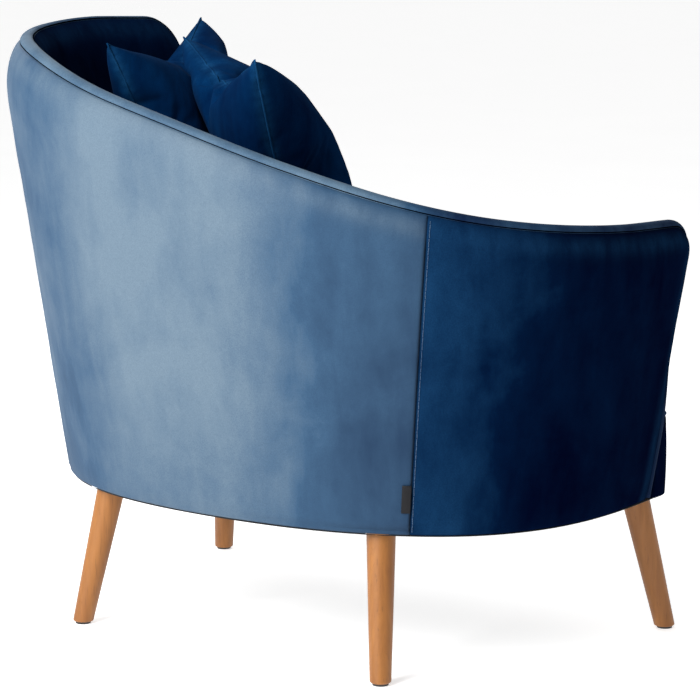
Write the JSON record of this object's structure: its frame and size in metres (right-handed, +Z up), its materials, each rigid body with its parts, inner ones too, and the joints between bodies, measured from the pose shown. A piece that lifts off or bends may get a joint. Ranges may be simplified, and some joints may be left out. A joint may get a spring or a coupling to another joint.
{
  "type": "upholstered armchair",
  "caption": "Asymmetric upholstered tub armchair with a sweeping rim, loose seat and scatter cushions, and splayed turned wooden legs.",
  "frame": {"origin": "on the floor, at the middle of the chair's overall footprint (bounding box)", "axes": "+X towards the sitter's left (the high side), -Y towards the front (the open side), +Z up"},
  "size_m": [1.0072, 0.6226, 0.8596],
  "materials": {
    "velvet": "deep blue velvet, soft nap",
    "beech": "oiled turned beech, satin",
    "timber": "planed softwood, unfinished",
    "board": "thin hardboard",
    "webbing": "elastic webbing",
    "wadding": "polyester wadding",
    "foam": "upholstery foam",
    "fibre": "fibre filling",
    "felt": "needle felt",
    "deck_cloth": "plain lining cloth",
    "dust_cloth": "black non-woven",
    "steel": "zinc plated",
    "glide": "hard plastic glide",
    "zip": "moulded zip pull",
    "tag": "woven tag, blank"
  },
  "bodies": {
    "chair": {"outer_back_panel": "velvet", "outer_side_panel_right": "velvet", "outer_side_panel_left": "velvet", "rim_band": "velvet", "inner_wall_cover": "velvet", "outer_wadding": "wadding", "wall_foam": "foam", "side_tag": "tag", "rear_rail": "timber", "side_rail_left": "timber", "side_rail_right": "timber", "front_rail": "timber", "top_rail": "timber", "backing_board": "board", "back_webbing": "webbing", "wall_post_1": "timber", "wall_post_2": "timber", "wall_post_3": "timber", "wall_post_4": "timber", "wall_post_5": "timber", "wall_post_6": "timber", "wall_post_7": "timber", "wall_post_8": "timber", "leg_rear_left": "beech", "leg_rear_right": "beech", "leg_front_left": "beech", "leg_front_right": "beech", "leg_glides": "glide", "leg_plates": "steel", "plate_screws": "steel", "hanger_bolts": "steel", "leg_blocks": "timber", "seat_springs": "steel", "spring_clips": "steel", "tie_wires": "steel", "deck_felt": "felt", "deck_foam": "foam", "deck_cloth": "deck_cloth", "dust_cover": "dust_cloth", "dust_cover_staples": "steel", "front_border_cover": "velvet", "front_border_foam": "foam"},
    "seat_cushion": {"seat_cushion_cover": "velvet", "seat_cushion_foam": "foam"},
    "scatter_cushion_rear": {"scatter_cover_rear": "velvet", "scatter_filling_rear": "fibre", "scatter_zip_rear": "zip"},
    "scatter_cushion_front": {"scatter_cover_front": "velvet", "scatter_filling_front": "fibre", "scatter_zip_front": "zip"}
  },
  "joints": [
    {"name": "seat_cushion_lift", "type": "slide", "parent": "chair", "child": "seat_cushion", "axis": [0, 0, 1], "range_m": [0, 0.2]},
    {"name": "rear_scatter_lift", "type": "slide", "parent": "seat_cushion", "child": "scatter_cushion_rear", "axis": [0, 0, 1], "range_m": [0, 0.3]},
    {"name": "front_scatter_lift", "type": "slide", "parent": "scatter_cushion_rear", "child": "scatter_cushion_front", "axis": [-0.4201, -0.5001, 0.7572], "range_m": [0, 0.22]}
  ]
}
